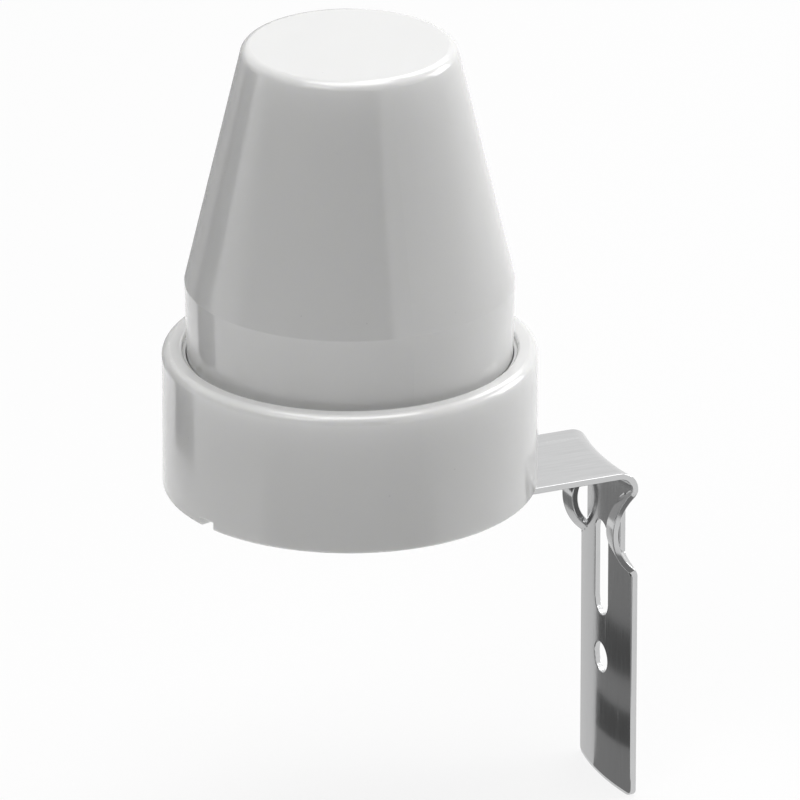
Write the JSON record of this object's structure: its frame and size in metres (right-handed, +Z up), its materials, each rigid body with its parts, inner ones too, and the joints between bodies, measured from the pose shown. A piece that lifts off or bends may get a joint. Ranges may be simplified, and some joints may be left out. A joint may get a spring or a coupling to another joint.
{
  "type": "photocell switch",
  "caption": "Light-sensing switch for outdoor lamps: milky cone-shaped cover on a round base, carried by a folded steel strip with slot, fixing hole and band loops.",
  "frame": {"origin": "centre of the bracket's round fixing hole, on the face that meets the pole or wall", "axes": "+Z up, from the leg's foot to the cover's top; +Y towards the pole; X across the bracket"},
  "size_m": [0.058, 0.0735, 0.1296],
  "materials": {
    "cover": "semi-gloss, milky",
    "base": "semi-gloss",
    "seal": "matt",
    "bracket": "bright zinc plating",
    "fixings": "zinc plating",
    "board": "satin lacquer",
    "relay": "satin",
    "film_capacitor": "gloss",
    "can_capacitor": "sleeved can",
    "glass_diode": "gloss",
    "black_part": "matt",
    "resistor": "lacquer",
    "light_cell": "clear lacquer",
    "sleeve": "matt"
  },
  "bodies": {
    "root": {"cover": "cover", "base": "base", "seal_ring": "seal", "bracket": "bracket", "bracket_screw": "fixings", "flat_washer": "fixings", "spring_washer": "fixings", "bracket_nut": "fixings", "circuit_board": "board", "board_screws": "fixings", "relay": "relay", "dropper_capacitor": "film_capacitor", "smoothing_capacitor": "can_capacitor", "delay_capacitor": "can_capacitor", "zener_diode": "glass_diode", "light_cell": "light_cell", "rectifier_diode_1": "black_part", "rectifier_diode_2": "black_part", "rectifier_diode_3": "black_part", "rectifier_diode_4": "black_part", "resistor_1": "resistor", "resistor_2": "resistor", "resistor_3": "resistor", "transistor_1": "black_part", "transistor_2": "black_part", "light_cell_sleeve_1": "sleeve", "light_cell_sleeve_2": "sleeve"}
  },
  "joints": []
}
